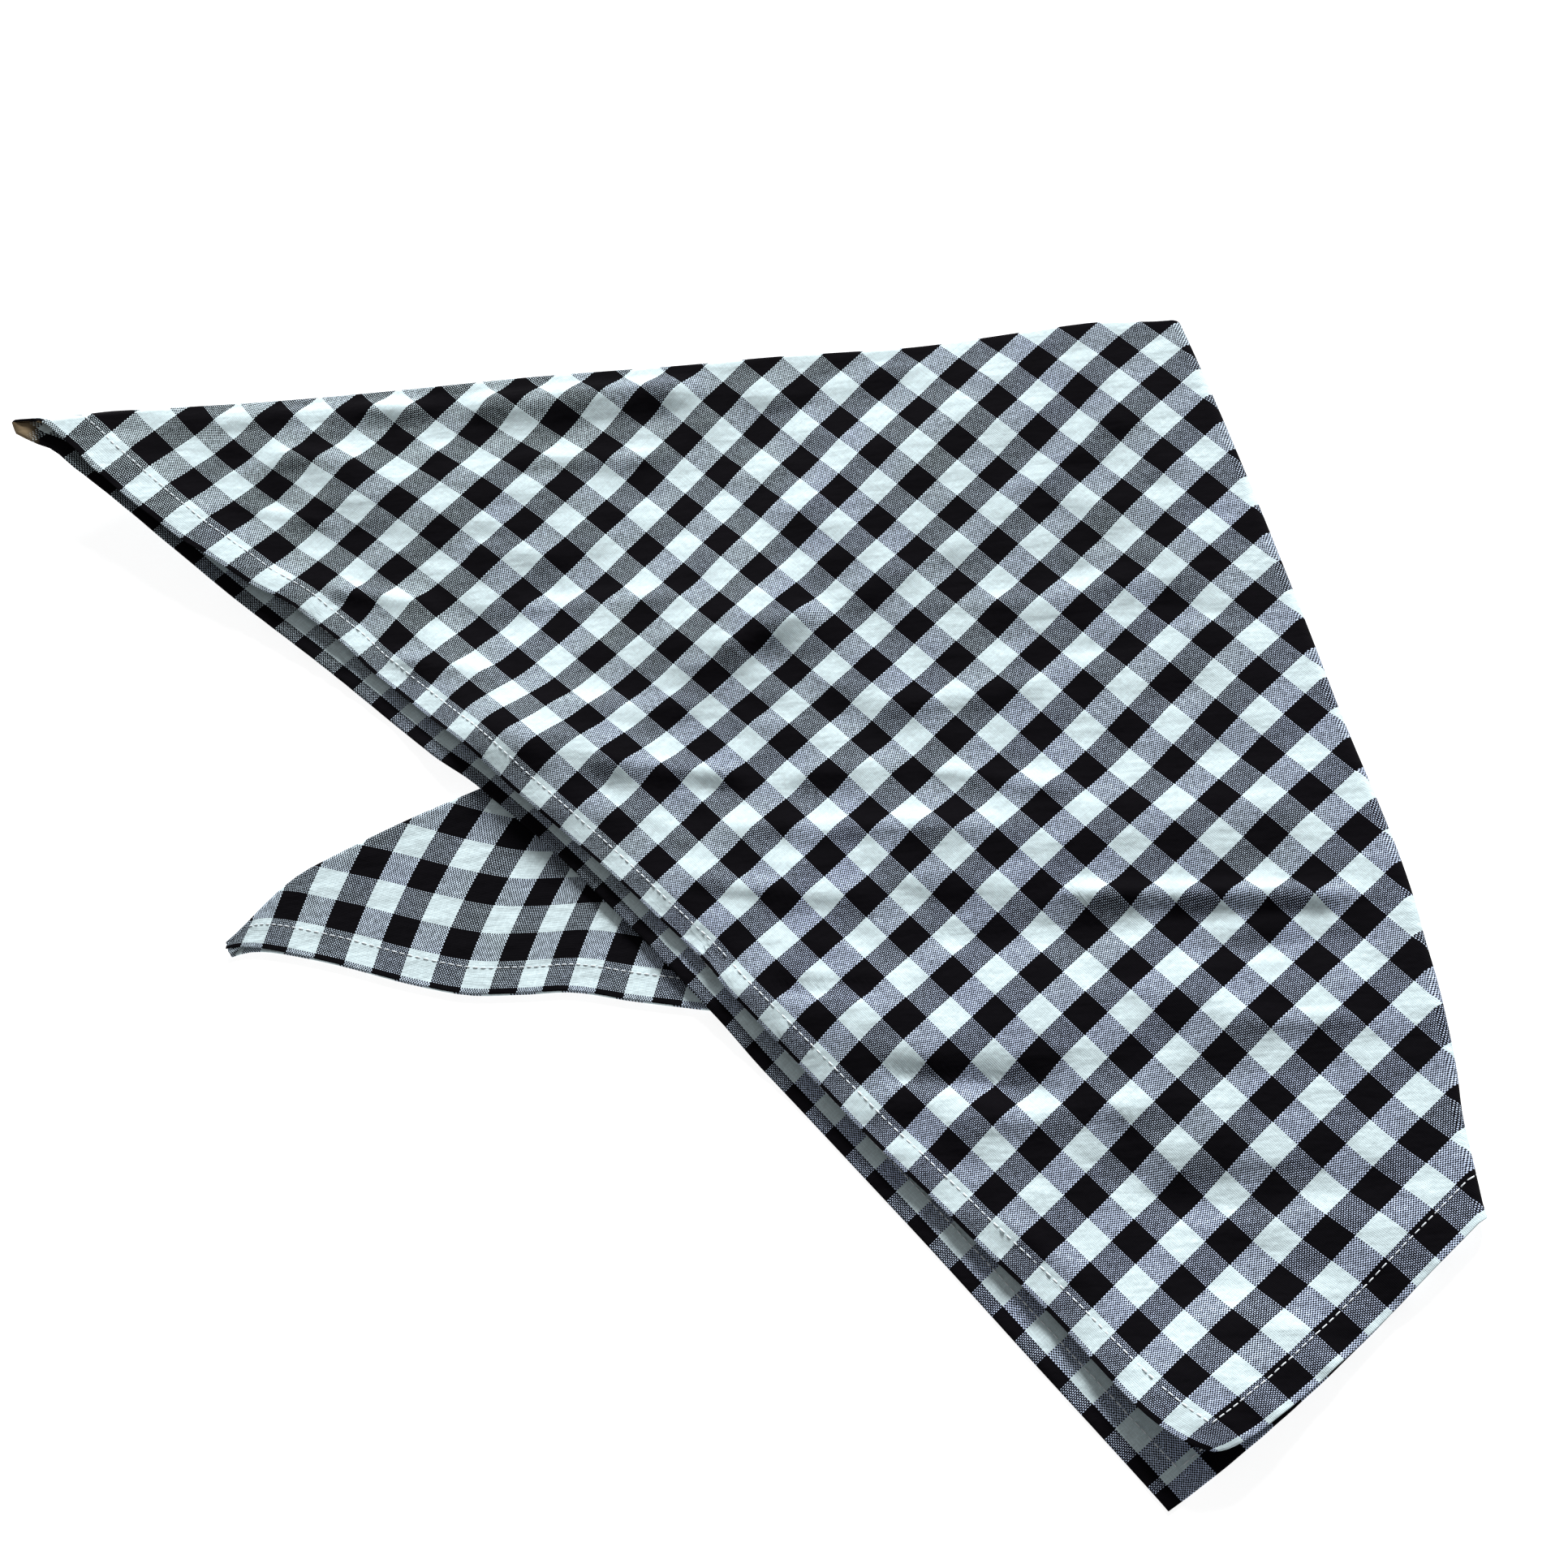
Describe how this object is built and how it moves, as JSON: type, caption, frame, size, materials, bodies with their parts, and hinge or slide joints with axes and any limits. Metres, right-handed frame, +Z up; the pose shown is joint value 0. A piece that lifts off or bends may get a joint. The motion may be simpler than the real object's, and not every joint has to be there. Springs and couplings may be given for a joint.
{
  "type": "folded neck scarf",
  "caption": "Square cotton neck scarf in small checks, lying folded corner to corner with one end tucked underneath and a narrow hem all round.",
  "frame": {"origin": "bottom centre of the folded scarf's bounding box, on the surface it lies on", "axes": "+X along the first fold's general direction, from the free tip towards the second fold; +Y towards the first fold, away from the loose corners; +Z up"},
  "size_m": [0.4832, 0.3984, 0.0248],
  "materials": {
    "cotton": "matte woven cotton, small black and white checks"
  },
  "bodies": {
    "root": {"scarf_cloth": "cotton"}
  },
  "joints": []
}
